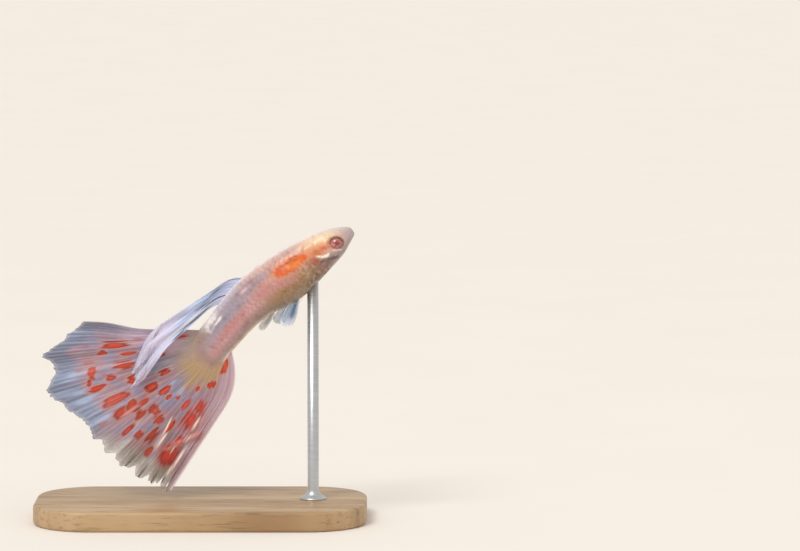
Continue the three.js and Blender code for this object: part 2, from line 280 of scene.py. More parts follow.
class Nodes:
    def __init__(self, name):
        self.material = bpy.data.materials.new(name)
        self.material.use_nodes = True
        self.tree = self.material.node_tree
        self.shader = self.tree.nodes["Principled BSDF"]

    def add(self, kind, inputs=(), **settings):
        node = self.tree.nodes.new(kind)
        for key, value in settings.items():
            setattr(node, key, value)
        for key, value in dict(inputs).items():
            self.feed(node.inputs[key], value)
        return node

    def feed(self, socket, value):
        if isinstance(value, bpy.types.NodeSocket):
            self.tree.links.new(value, socket)
        elif isinstance(value, str):
            socket.default_value = (*colour(value), 1)
        else:
            socket.default_value = value

    def math(self, operation, a, b=0.0, c=0.0):
        return self.add("ShaderNodeMath", {0: a, 1: b, 2: c}, operation=operation).outputs[0]

    def times(self, a, b):
        return self.math("MULTIPLY", a, b)

    def attribute(self, name, output="Fac"):
        return self.add("ShaderNodeAttribute", attribute_name=name).outputs[output]

    def place(self):
        return self.add("ShaderNodeTexCoord").outputs["Object"]

    def stretch(self, x, y, z):
        return self.add("ShaderNodeCombineXYZ", {0: x, 1: y, 2: z}).outputs[0]

    def apart(self, vector):
        return self.add("ShaderNodeSeparateXYZ", {0: vector}).outputs[:]

    def noise(self, vector, scale, detail=3.0, roughness=0.5):
        inputs = {"Vector": vector, "Scale": scale, "Detail": detail, "Roughness": roughness}
        return self.add("ShaderNodeTexNoise", inputs).outputs["Fac"]

    def mask(self, value, low, high, toLow=0.0, toHigh=1.0):
        inputs = {"Value": value, "From Min": low, "From Max": high, "To Min": toLow, "To Max": toHigh}
        return self.add("ShaderNodeMapRange", inputs, interpolation_type="SMOOTHSTEP").outputs[0]

    def mix(self, share, a, b, way="MIX"):
        node = self.add("ShaderNodeMix", data_type="RGBA", blend_type=way, clamp_result=True)
        for socket, value in zip((node.inputs[0], node.inputs[6], node.inputs[7]), (share, a, b)):
            self.feed(socket, value)
        return node.outputs[2]

    def bump(self, height, distance, strength=1.0):
        inputs = {"Height": height, "Distance": distance, "Strength": strength}
        return self.add("ShaderNodeBump", inputs).outputs[0]

    def finish(self, **sockets):
        for key, value in sockets.items():
            self.feed(self.shader.inputs[key.replace("_", " ")], value)
        return self.material


# the skin: head, torso and tail stalk in one

# angles round the head are degrees from the back; a rim, lip or groove is its height, how far off it runs
# and its half width
head = {
    "eyeAt": 3.08,
    "eyeRise": 0.02,
    "eyeRadius": 1.06,
    "eyeFlatness": 0.72,
    "eyeProud": 0.3,
    "socketDepth": 0.26,
    "socketEdge": (-0.02, 0.3),
    "socketAngles": (92, 42, 12),
    "socketRim": (0.08, 0.4, 0.24),
    "coverWithin": (3, 10),
    "coverFront": 4.6,
    "coverEdge": 7.3,
    "coverBelly": 1.0,
    "coverHeight": 0.24,
    "coverCentre": 100.0,
    "coverSpread": 46.0,
    "coverAngles": (38, 63, 152, 172),
    "coverFall": (-0.02, 0.14),
    "coverGrooves": [(0.07, 0.2, 0.13), (0.035, -1.75, 0.14)],
    "snoutEnd": 3,
    "mouthRise": 0.35,
    "mouthTilt": 38.0,
    "mouthLength": 1.3,
    "mouthFades": 0.75,
    "mouthDepth": 0.11,
    "mouthWidth": 0.08,
    "lip": (0.03, 0.24, 0.16),
    "nostrilAt": 1.55,
    "nostrilAngle": 42.0,
    "nostrilAround": 1.4,
    "nostrilRadius": 0.17,
    "nostrilDepth": 0.16,
    "nostrilRim": (0.05, 0.26, 0.1),
}
scales = {
    "pitch": 0.82,
    "rows": 8.0,
    "bulge": 0.42,
    "height": 0.024,
    "ramp": 1.4,
    "lip": 0.9,
    "along": (8.2, 9.0, 27.5, 29.5),
    "around": (4, 26, 160, 176),
}


def eyeCentre(side):
    up, _, left = directionsAt(head["eyeAt"])
    outward = sectionAt(head["eyeAt"])[2] + head["eyeProud"] - head["eyeRadius"] * head["eyeFlatness"]
    return midline(head["eyeAt"]) + up * head["eyeRise"] + left * side * outward


eyeCentres = {1: eyeCentre(1), -1: eyeCentre(-1)}


# millimetres from the eye's oval edge, seen from the side
def fromEyeRim(point, side):
    dx, dz = point.x - eyeCentres[side].x, point.z - eyeCentres[side].z
    a, b = turnedOffset(dx, dz, math.radians(eyes["tilt"]))
    a /= eyes["long"]
    b /= eyes["high"] * (1 - eyes["almond"] * min(a * a, 1))
    out = math.hypot(a, b)
    return (out - 1) * math.hypot(dx, dz) / max(out, 0.01)


def ridgeAt(distance, ridge):
    height, away, width = ridge
    return height * bump(distance - away, width)


def mouthRelief(point):
    tip = midline(0.0) + directionsAt(0.0)[0] * head["mouthRise"]
    pitch = math.radians(body["pitchHead"] + head["mouthTilt"])
    along = Vector((-math.cos(pitch), 0, -math.sin(pitch)))
    across = Vector((math.sin(pitch), 0, -math.cos(pitch)))
    offset = point - tip
    fade = until(offset.dot(along), head["mouthFades"] * head["mouthLength"], head["mouthLength"])
    gap = abs(offset.dot(across))
    return fade * (ridgeAt(gap, head["lip"]) - head["mouthDepth"] * bump(gap, head["mouthWidth"]))


def coverRelief(s, fromBack):
    edge = head["coverEdge"] + head["coverBelly"] * bump(fromBack - head["coverCentre"], head["coverSpread"])
    on = within(fromBack, *head["coverAngles"])
    rising = between(s, head["coverFront"], edge) * until(s - edge, *head["coverFall"])
    grooves = sum(ridgeAt(s - edge, groove) for groove in head["coverGrooves"])
    return on * (head["coverHeight"] * rising - grooves)


# how far a scale stands up at a place, from 0 in front of its rear edge to 1 on it
def scaleRise(s, fromBack):
    row = fromBack / 180 * scales["rows"]
    inRow = row - math.floor(row)
    shift = 0.5 * (math.floor(row) % 2) - scales["bulge"] * (1 - (2 * inRow - 1) ** 2)
    phase = (s / scales["pitch"] + shift) % 1
    return phase ** scales["ramp"] * until(phase, scales["lip"], 1.0)


def skinRelief(s, angle, point):
    fromBack = min(angle, 360 - angle)
    fromRim = fromEyeRim(point, 1 if angle < 180 else -1)
    middle, spread, fade = head["socketAngles"]
    onFlank = bump(max(abs(fromBack - middle) - spread, 0), fade)
    socket = head["socketDepth"] * until(fromRim, *head["socketEdge"])
    relief = onFlank * (ridgeAt(fromRim, head["socketRim"]) - socket)
    if s < head["snoutEnd"]:
        relief += mouthRelief(point)
        aside = math.radians(fromBack - head["nostrilAngle"]) * head["nostrilAround"]
        nostril = math.hypot(s - head["nostrilAt"], aside)
        relief += ridgeAt(nostril, head["nostrilRim"])
        relief -= head["nostrilDepth"] * bump(nostril, head["nostrilRadius"])
    if head["coverWithin"][0] < s < head["coverWithin"][1]:
        relief += coverRelief(s, fromBack)
    covered = within(s, *scales["along"]) * within(fromBack, *scales["around"])
    if covered > 0:
        relief += scales["height"] * covered * scaleRise(s, fromBack)
    return relief


# colours up the side, from the belly (-1) to the back (1), at the head, the middle and the rear; the darker
# low rows are partly painted shade under the belly, and the pale top rows and the pale rear entries of the
# two lowest rows are a painted highlight rim
flankColoursAndShading = [
    (-1.0, "#c4b9b1", "#a59a88", "#ecd6c8"),
    (-0.93, "#ab9c98", "#948470", "#e0cabd"),
    (-0.84, "#a29290", "#8a7864", "#b39c93"),
    (-0.76, "#a08e8c", "#877460", "#a68c87"),
    (-0.5, "#b09a94", "#9c7a5c", "#ab8787"),
    (-0.2, "#d2aa9c", "#b48672", "#c48f8e"),
    (0.1, "#e0ae94", "#c8908a", "#b8929a"),
    (0.4, "#dda482", "#cc9082", "#ac98a1"),
    (0.7, "#dfb594", "#b88678", "#a596a3"),
    (0.9, "#e9d0c0", "#cfaaa0", "#bfb4c2"),
    (1.0, "#f7efe9", "#f0e6e6", "#ece8ee"),
]

# marks on the flank: distance from the snout, height above the midline, length, width, turn
flankMarks = [
    marks("#c9b9b9", 0.65, 0.8, 0.5, [(1.9, 1.5, 4.4, 1.6, 22)]),
    marks("#aa9ea2", 0.8, 0.6, 0.5, [(0.3, 0.0, 2.6, 2.4)]),
    marks("#f6dcae", 0.6, 0.7, 0.5, [(5.0, 1.75, 4.6, 1.3, 8)]),
    marks("#e3996a", 0.8, 0.7, 0.5, [(6.9, 0.8, 4.6, 1.5, 8)]),
    marks("#d0593c", 0.85, 0.8, 0.8, [(5.0, 0.3, 1.3, 0.6, 24)]),
    marks("#d97a48", 0.8, 0.7, 1.0, [(6.3, 0.2, 3.0, 0.9, 16)]),
    marks("#a9573a", 0.8, 0.6, 1.4, [
        (7.5, -0.4, 1.9, 1.0, 18), (6.9, -1.15, 1.4, 0.8, 10), (8.6, 0.2, 1.2, 0.7, 20),
    ]),
    marks("#64494a", 0.85, 0.8, 1.0, [
        (5.5, -1.6, 2.1, 0.9, 14), (6.3, -1.3, 0.9, 0.5), (4.6, -1.7, 1.2, 0.4, 20),
        (8.1, -0.9, 0.9, 0.3, 60),
    ]),
    marks("#8d615c", 0.8, 0.7, 1.0, [(6.9, -2.1, 2.8, 1.5, -8)]),
    marks("#876c5a", 0.7, 0.7, 0.5, [(8.1, -2.5, 2.0, 1.3)]),
    marks("#a3824c", 0.85, 0.7, 1.0, [(9.5, -1.3, 3.0, 1.5, 10)]),
    marks("#7a6a54", 0.75, 0.8, 0.5, [(9.6, -3.0, 4.6, 1.3)]),
    marks("#9c7446", 0.75, 0.8, 0.5, [(12.4, -2.1, 5.4, 1.7, 6)]),
    marks("#fff3dc", 1.0, 0.3, 0.9, [
        (6.0, -0.55, 1.5, 0.3, 36), (5.3, -0.8, 1.2, 0.5, 18), (4.85, -0.78, 0.6, 0.26, 0),
    ]),
    marks("#f9e2da", 0.9, 0.5, 0.5, [(3.45, -0.92, 1.4, 0.18, 27)]),
    marks("#6b4444", 0.45, 0.7, 0.5, [(3.1, 0.92, 1.6, 0.16, 24)]),
    marks("#c48480", 0.8, 0.8, 0.8, [
        (13.2, -0.45, 6.0, 1.0, 16), (19.8, 0.3, 11, 0.8), (23.8, 0.3, 3.4, 1.1),
    ]),
    marks("#a294a3", 0.6, 0.9, 0.7, [
        (20.0, 2.0, 9.0, 1.5, -2), (15.0, 2.2, 4.0, 0.8, 4), (24.0, 1.4, 5.0, 1.0),
    ]),
    marks("#e2671f", 1.0, 0.28, 0.6, [
        (11.1, 0.95, 4.4, 1.9, 10), (9.5, 1.1, 3.2, 1.4, 14),
    ], halo="#dc9a78"),
    marks("#f58a3c", 0.75, 0.5, 0.5, [(10.2, 0.85, 2.6, 0.7, 10)]),
    marks("#de5a1c", 0.6, 0.6, 0.5, [(12.2, 1.0, 1.6, 1.2, 8)]),
    marks("#9c4a1c", 0.8, 0.6, 0.8, [(11.2, 1.58, 2.4, 0.2, 4), (9.4, 1.66, 2.0, 0.22, 12)]),
    # painted highlights along the upper edge of the tail stalk
    marks("#fbf3ec", 0.8, 0.8, 1.6, [(25.0, 3.0, 3.6, 0.9, -8), (24.0, 2.2, 2.4, 0.3, -6)]),
    marks("#ecc9cb", 0.7, 0.8, 1.0, [(18.2, 2.5, 1.3, 0.4)]),
    marks("#8d8590", 0.5, 0.7, 0.5, [(23.5, 1.7, 4.0, 0.5), (16.4, 1.9, 3.0, 0.4)]),
]

# two numbers are where something starts and is complete, and two more are where it begins to end and has
# ended; a mottle has its tone and strength first
flankLook = {
    "toMiddle": (4.0, 11.0),
    "toRear": (14.0, 22.0),
    "mottleAlong": (4.4, 6.0, 10.0, 13.0),
    "mottleTop": (0.0, 0.8),
    "darkMottle": ("#6f5142", 0.4, 0.05, 0.45),
    "paleMottle": ("#cfa98a", 0.35, 0.1, 0.45),
    "fanStart": 0.4,
    "fanSlant": 1.6,
    "fanHeights": (0.5, 2.5),
    "fanOut": (0.05, 0.85),
    "fanDrift": 0.3,
    "fanFade": 2.0,
    "fanShade": 0.94,
}


# the tail's fan of colour begins on the stalk, farther forward above the midline than below it
def stalkPaint(paint, s, height, drift):
    look = flankLook
    begins = tail["rootAt"] - look["fanStart"] - look["fanSlant"] * between(height, *look["fanHeights"])
    if s <= begins:
        return paint
    back, down = (s - tail["rootAt"]) / tail["rootBack"], -height / tail["rootUp"]
    out = math.hypot(down, back)
    turned = math.degrees(math.atan2(down, back))
    u = clamp((turned - tail["rootFrom"]) / (tail["rootTo"] - tail["rootFrom"]))
    share = between(out + look["fanDrift"] * drift, *look["fanOut"])
    share *= between(s, begins, begins + look["fanFade"])
    return tint(paint, look["fanShade"] * fanPaint(u, (out - 1) * tail["rootBack"]), share)


def flankPaint(s, angle):
    look = flankLook
    rise, depth, _ = sectionAt(s)
    lift = math.cos(math.radians(angle))
    # the side colour comes from these rows, with their painted belly shade and painted highlight rims
    i = rowBefore(flankColoursAndShading, lift)
    low, high = flankColoursAndShading[i], flankColoursAndShading[i + 1]
    share = clamp((lift - low[0]) / (high[0] - low[0]))
    front, middle, rear = (tint(low[k], high[k], share) for k in (1, 2, 3))
    paint = tint(tint(front, middle, between(s, *look["toMiddle"])), rear, between(s, *look["toRear"]))
    height = lift * (rise if lift > 0 else depth)
    drift = wander(s * 0.9, height * 0.9, 3.0)
    wobble = 0.5 * drift + 0.3 * wander(s * 2.6, height * 2.6, 8.0)
    paint = layMarks(paint, flankMarks, s + 0.25 * drift, height + 0.12 * drift, 0.0, wobble)
    mottled = within(s, *look["mottleAlong"]) * until(height, *look["mottleTop"])
    spotted = wander(s * 2.2, height * 2.2, 11.0)
    for kind, way in (("darkMottle", 1), ("paleMottle", -1)):
        tone, strength, start, full = look[kind]
        paint = tint(paint, tone, strength * mottled * between(way * spotted, start, full))
    return stalkPaint(paint, s, height, drift)


def makeSkin():
    bm = bmesh.new()
    bmesh.ops.create_uvsphere(bm, u_segments=body["around"], v_segments=body["rings"], radius=1.0)
    along, rows = layersOf(bm, "alongBody", "scaleRow")
    paint = bm.verts.layers.float_color.new("paint")
    end = body["length"] + body["roundedEnd"] - body["stopShort"]
    spread = body["ringSpread"]
    for vert in bm.verts:
        ring = round(math.acos(clamp(vert.co.z, -1, 1)) / math.pi * body["rings"])
        t = ring / body["rings"]
        s = end * (spread * t + (1 - spread) * t * t)  # rings lie closer together at the head
        angle = math.degrees(math.atan2(vert.co.x, vert.co.y)) % 360
        plain = skinPoint(s, angle)
        vert.co = skinPoint(s, angle, skinRelief(s, angle, plain)) if 0 < ring < body["rings"] else plain
        fromBack = min(angle, 360 - angle)
        vert[along] = s
        vert[rows] = fromBack / 180 * scales["rows"]
        vert[paint] = (*flankPaint(s, angle), 1)
    skin = newPiece("guppySkin", bm, skinMaterial())
    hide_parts("head", "torso", "tail_stalk")


def skinMaterial():
    n = Nodes("moist scaled skin")
    place = n.place()
    s, row = n.attribute("alongBody"), n.attribute("scaleRow")
    inRow = n.math("FRACT", row)
    odd = n.times(n.math("MODULO", n.math("FLOOR", row), 2.0), 0.5)
    bulge = n.math("POWER", n.math("ABSOLUTE", n.math("MULTIPLY_ADD", inRow, 2.0, -1.0)), 2.0)
    shift = n.math("MULTIPLY_ADD", bulge, scales["bulge"], -scales["bulge"])
    phase = n.math("FRACT", n.math("ADD", n.math("MULTIPLY_ADD", s, 1 / scales["pitch"], odd), shift))
    scaled = n.times(n.mask(s, 7.8, 9.4), n.mask(s, 30.0, 27.0))
    # darkening towards each scale's rear rim is painted shade where the scales overlap
    edge = n.times(n.mask(phase, 0.62, 0.97), scaled)
    fleck = n.noise(place, 900.0, 4.0, 0.6)
    broad = n.noise(place, 260.0, 3.0, 0.55)
    base = n.attribute("paint", "Color")
    base = n.mix(n.mask(broad, 0.35, 0.75, 0.0, 0.16), base, "#f0dccf", "SOFT_LIGHT")
    base = n.mix(n.mask(fleck, 0.5, 0.75, 0.0, 0.3), base, "#6d4d48", "MULTIPLY")
    base = n.mix(n.times(edge, 0.1), base, "#8c6c6a", "MULTIPLY")
    glints = n.mask(n.noise(place, 420.0), 0.5, 0.7, 0.0, 0.14)
    sheen = n.times(n.mask(phase, 0.15, 0.6), glints)
    base = n.mix(n.times(sheen, scaled), base, "#f3ecf2", "SCREEN")
    height = n.math("ADD", n.times(phase, scaled), n.times(fleck, 0.35))
    return n.finish(
        Base_Color=base,
        Roughness=n.mask(fleck, 0.3, 0.7, 0.3, 0.46),
        Normal=n.bump(height, 0.00003, 0.6),
        Subsurface_Weight=0.12,
        Subsurface_Radius=(1.0, 0.45, 0.3),
        Subsurface_Scale=0.0006,
        Coat_Weight=0.2,
        Coat_Roughness=0.15,
    )


# the eyes

# paint is placed as if the eye's edge were a circle of radius 1: a tone, its strength and where it fades
eyes = {
    "around": 72,
    "rings": 56,
    "long": 1.1,
    "high": 0.9,
    "almond": 0.24,
    "tilt": 4.0,
    "corneaLift": 0.06,
    "corneaWidth": 0.5,
    "iris": ("#b25a57", "#c98078"),
    # a painted sheen on the iris, towards its rear and a little low
    "sheenSpotAt": (-0.42, -0.12),
    "sheenSpot": ("#dba49b", 0.75, 0.28),
    "pupilAt": (0.16, 0.02),
    "pupil": [("#9c3c3d", 0.85, 0.18, 0.52), ("#6e2428", 0.8, 0.04, 0.26)],
    "lid": "#4a2b2f",
    "lidFrom": (0.74, 0.95),
    "streakScale": 3000.0,
    "streaks": "#8e3b3c",
}


def eyePaint(a, b):
    paint = tint(*eyes["iris"], between(wander(a * 4, b * 4, 2.0), -0.3, 0.5))
    # the painted sheen on the iris
    tone, strength, width = eyes["sheenSpot"]
    fromSheenSpot = math.hypot(a - eyes["sheenSpotAt"][0], (b - eyes["sheenSpotAt"][1]) * 1.3)
    paint = tint(paint, tone, strength * bump(fromSheenSpot, width))
    fromPupil = math.hypot(a - eyes["pupilAt"][0], b - eyes["pupilAt"][1])
    for tone, strength, start, end in eyes["pupil"]:
        paint = tint(paint, tone, strength * until(fromPupil, start, end))
    lid = between(math.hypot(a, b), *eyes["lidFrom"]) * (0.3 + 0.7 * between(b - 0.25 * a, -0.35, 0.35))
    return (*tint(paint, eyes["lid"], lid), 1)


def makeEye(side, name, node):
    bm = bmesh.new()
    bmesh.ops.create_uvsphere(bm, u_segments=eyes["around"], v_segments=eyes["rings"], radius=1.0)
    paint = bm.verts.layers.float_color.new("paint")
    deep = head["eyeRadius"] * head["eyeFlatness"]
    tilt = math.radians(eyes["tilt"])
    for vert in bm.verts:
        a, b, c = vert.co
        vert[paint] = eyePaint(a, b) if c > 0 else eyePaint(1, 0)
        long, high = a * eyes["long"], b * eyes["high"] * (1 - eyes["almond"] * a * a)
        cornea = eyes["corneaLift"] * bump(math.hypot(a, b), eyes["corneaWidth"]) * (c > 0)
        across = Vector((math.cos(tilt), 0, math.sin(tilt))) * long
        upward = Vector((-math.sin(tilt), 0, math.cos(tilt))) * high
        vert.co = eyeCentres[side] + across + upward + Vector((0, side * (c * deep + cornea), 0))
    eye = newPiece(name, bm, eyeMaterial)
    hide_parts(node)


def makeEyeMaterial():
    n = Nodes("glossy red iris")
    streaks = n.noise(n.place(), eyes["streakScale"], 4.0, 0.6)
    paint = n.attribute("paint", "Color")
    base = n.mix(n.mask(streaks, 0.4, 0.7, 0.0, 0.45), paint, eyes["streaks"], "MULTIPLY")
    return n.finish(Base_Color=base, Roughness=0.12, Coat_Weight=0.8, Coat_Roughness=0.03)


# the fins: one grid each, placed ray by ray, thickened, then its rays raised on both faces

finLook = {
    "rayWidth": 0.1,
    "branchNarrowing": 0.045,
    "edgeThinning": 0.6,
    "thinTip": 0.9,
    "thinSide": 0.97,
}


# how far a ray stands up, from 0 to 1, at a place u across the fin and v along it
def raysAt(u, v, rays, splits):
    inRay = (u * rays) % 1 - 0.5
    arms = [0.0]
    for start, end, apart in splits:
        opened = apart * between(v, start, end)
        arms = [arm + way * opened for arm in arms for way in (-1, 1)]
    width = finLook["rayWidth"] - (finLook["branchNarrowing"] * v if splits else 0)
    return max(bump(inRay - arm, width) for arm in arms)


# a ray's path seen from the side: it turns from one pitch to another, and may droop or flick on its way
def traceRay(start, leaves, arrives, length, turn, rows, droop=(0.0, 1.0, 1.0), flick=(0.0, 1.0, 1.0)):
    def pitchOf(at):
        bent = blend(leaves, arrives, ease(at / turn)) + droop[0] * ease((at - droop[1]) / droop[2])
        return math.radians(bent + flick[0] * bump(at - flick[1], flick[2]))

    path = []
    x, y, z = start
    for j in range(rows + 1):
        path.append((x, z, pitchOf(j / rows)))
        pitch = pitchOf((j + 0.5) / rows)
        x -= math.cos(pitch) * length / rows
        z -= math.sin(pitch) * length / rows
    return path


def makeFin(name, fin, placeAt, paintAt, material, node):
    columns, rows = fin["columns"], fin["rows"]

    def gridOf(read):
        return [[read(i, j) for j in range(rows + 1)] for i in range(columns + 1)]

    spots = gridOf(placeAt)
    rays = gridOf(lambda i, j: raysAt(i / columns, j / rows, fin["rays"], fin["splits"]))
    paints = gridOf(lambda i, j: paintAt(i / columns, j / rows, *spots[i][j]))
    bm = bmesh.new()
    bmesh.ops.create_grid(bm, x_segments=columns, y_segments=rows, size=0.5)
    bmesh.ops.solidify(bm, geom=bm.faces[:], thickness=1.0)
    across, along, ridge = layersOf(bm, "acrossFin", "alongFin", "ray")
    paint = bm.verts.layers.float_color.new("paint")
    for vert in bm.verts:
        i = round((vert.co.x + 0.5) * columns)
        j = round((vert.co.y + 0.5) * rows)
        face = 1 if vert.co.z > -0.5 else -1
        u, v = i / columns, j / rows
        sideways = spots[min(i + 1, columns)][j][0] - spots[max(i - 1, 0)][j][0]
        outward = spots[i][min(j + 1, rows)][0] - spots[i][max(j - 1, 0)][0]
        raised = rays[i][j]
        rim = max(between(v, finLook["thinTip"], 1.0), between(abs(2 * u - 1), finLook["thinSide"], 1.0))
        half = fin["membrane"] / 2 * (1 - finLook["edgeThinning"] * rim)
        half += fin["ridge"] * raised * (1 - fin["thinning"] * v)
        vert.co = spots[i][j][0] + sideways.cross(outward).normalized() * face * half
        vert[across], vert[along], vert[ridge], vert[paint] = u, v, raised, paints[i][j]
    piece = newPiece(name, bm, material)
    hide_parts(node)


def finMaterial(name, rayTint, rayShare, clear, grain=220.0):
    n = Nodes(name)
    u, v, ray = n.attribute("acrossFin"), n.attribute("alongFin"), n.attribute("ray")
    streak = n.noise(n.stretch(n.times(u, 60.0), n.times(v, 5.0), 0.0), 2.2, 5.0, 0.62)
    fine = n.noise(n.stretch(n.times(u, grain), n.times(v, 14.0), 0.0), 1.6, 4.0, 0.6)
    base, cover = n.attribute("paint", "Color"), n.attribute("paint", "Alpha")
    base = n.mix(n.mask(streak, 0.45, 0.8, 0.0, 0.2), base, "#e9e4ec", "SOFT_LIGHT")
    base = n.mix(n.mask(fine, 0.5, 0.85, 0.0, 0.3), base, "#5c4a52", "MULTIPLY")
    base = n.mix(n.times(ray, rayShare), base, rayTint)
    opaque = n.times(cover, n.mask(streak, 0.3, 0.7, clear, 1.0))
    return n.finish(
        Base_Color=base,
        Alpha=n.math("MAXIMUM", opaque, n.times(ray, cover)),
        Roughness=n.mask(fine, 0.3, 0.7, 0.34, 0.5),
        Normal=n.bump(n.math("ADD", fine, n.times(ray, 0.6)), 0.00003, 0.6),
        Coat_Weight=0.05,
        Coat_Roughness=0.2,
        Specular_IOR_Level=0.35,
        Subsurface_Weight=0.1,
        Subsurface_Radius=(1.0, 0.5, 0.4),
        Subsurface_Scale=0.0003,
    )


# the tail fin, a fan of rays numbered from 0 at its upper edge to 1 at its lower

tail = {
    "columns": 408,
    "rows": 88,
    "rays": 17,
    "splits": [(0.12, 0.4, 0.25), (0.45, 0.85, 0.125)],
    "membrane": 0.08,
    "ridge": 0.034,
    "thinning": 0.4,
    "rootAt": 27.3,
    "rootBack": 3.0,
    "rootUp": 2.9,
    "rootDown": 2.4,
    "rootFrom": -112.0,
    "rootTo": 116.0,
    "leaves": [(0, -3), (0.25, 14), (0.5, 40), (0.75, 72), (1, 104)],
    "arrives": [(0, 0), (0.12, 5), (0.3, 17), (0.5, 38), (0.75, 55), (1, 57)],
    "reach": [(0, 18.4), (0.04, 18.9), (0.09, 20.4), (0.12, 21.8), (0.15, 23.6), (0.185, 22.1), (0.24, 21.8),
              (0.285, 23.2), (0.33, 21.8), (0.42, 19.3), (0.5, 19.3), (0.6, 19.5), (0.8, 21.3), (1, 24.4)],
    "turn": 0.42,
    "fringe": 0.5,
    "fineFringe": (0.35, 0.08),
    "flick": -13.0,
    "flickAt": 0.68,
    "flickWidth": 0.16,
    "flickEnds": 0.16,
    "wave": 2.0,
    "waveGrowth": 1.5,
    "waves": 1.4,
    "wavePhase": 0.15,
    "flutter": 0.4,
    "flutterGrowth": 3,
    "flutters": 6.5,
    "pucker": 0.03,
    "sideBend": 0.7,
    "sideTilt": 0.105,  # how far the near side of a sloping surface looks lower, from slightly above
}

# lobes and notches of the tail's margin: place across the fan, millimetres, half width
tailLobes = [
    (0.46, 0.35, 0.014),
    (0.49, -0.5, 0.01),
    (0.525, 0.3, 0.014),
    (0.56, -0.6, 0.01),
    (0.605, 0.5, 0.012),
    (0.655, -0.7, 0.012),
    (0.7, 0.4, 0.014),
    (0.74, -0.8, 0.01),
    (0.78, 0.4, 0.012),
    (0.835, -1.3, 0.01),
    (0.88, 0.4, 0.012),
    (0.92, -1.7, 0.01),
    (0.955, 0.4, 0.012),
]

# soft folds of the tail, seen from the side: both ends, width and height
tailFolds = [
    ((-4.3, 15.0), (-6.2, 10.2), 0.55, 0.5),
    ((-0.4, 15.0), (-2.0, 12.6), 0.5, 0.5),
    ((-2.4, 10.6), (-4.2, 7.6), 0.5, 0.55),
    ((0.4, 13.2), (-5.6, 10.6), 0.5, 0.35),
]


def tailReach(u):
    lobes = sum(height * bump(u - place, width) for place, height, width in tailLobes)
    fine = blend(*tail["fineFringe"], between(u, 0.4, 0.5))
    fringe = tail["fringe"] * wander(u * 46, 0, 0) + fine * wander(u * 130, 5, 0)
    return readAlong(tail["reach"], u) + lobes + fringe * between(u, 0.0, 0.08)


@lru_cache(maxsize=None)
def tailRay(i):
    u = i / tail["columns"]
    up, back, _ = directionsAt(body["length"])
    turned = math.radians(blend(tail["rootFrom"], tail["rootTo"], u))
    lift = tail["rootUp"] if turned < 0 else tail["rootDown"]
    start = midline(tail["rootAt"]) + back * tail["rootBack"] * math.cos(turned)
    start = start - up * lift * math.sin(turned)
    length = tailReach(u)
    leaves, arrives = readAlong(tail["leaves"], u), readAlong(tail["arrives"], u)
    flick = (tail["flick"] * until(u, 0, tail["flickEnds"]), tail["flickAt"], tail["flickWidth"])
    path = traceRay(start, leaves, arrives, length, tail["turn"], tail["rows"], flick=flick)
    return start.y, back.y, length, path


def foldLift(x, z):
    lift = 0.0
    for start, end, width, height in tailFolds:
        run, offset = Vector(end) - Vector(start), Vector((x, z)) - Vector(start)
        t = clamp(offset.dot(run) / run.length_squared)
        away = (offset - run * t).length
        lift += height * bump(away, width) * math.sin(math.pi * (0.1 + 0.8 * t))
    return lift


def tailPlace(i, j):
    u, v = i / tail["columns"], j / tail["rows"]
    y, sideways, length, path = tailRay(i)
    x, z, pitch = path[j]
    y += sideways * length * v * (1 - tail["sideBend"] * v)
    y += tail["wave"] * v ** tail["waveGrowth"] * math.sin(math.tau * tail["waves"] * u + tail["wavePhase"])
    y += tail["flutter"] * v ** tail["flutterGrowth"] * math.sin(math.tau * tail["flutters"] * u)
    y += tail["pucker"] * between(v, 0.05, 0.5) * math.cos(math.tau * tail["rays"] * u)
    return Vector((x, y - foldLift(x, z + y * tail["sideTilt"]), z)), pitch, length


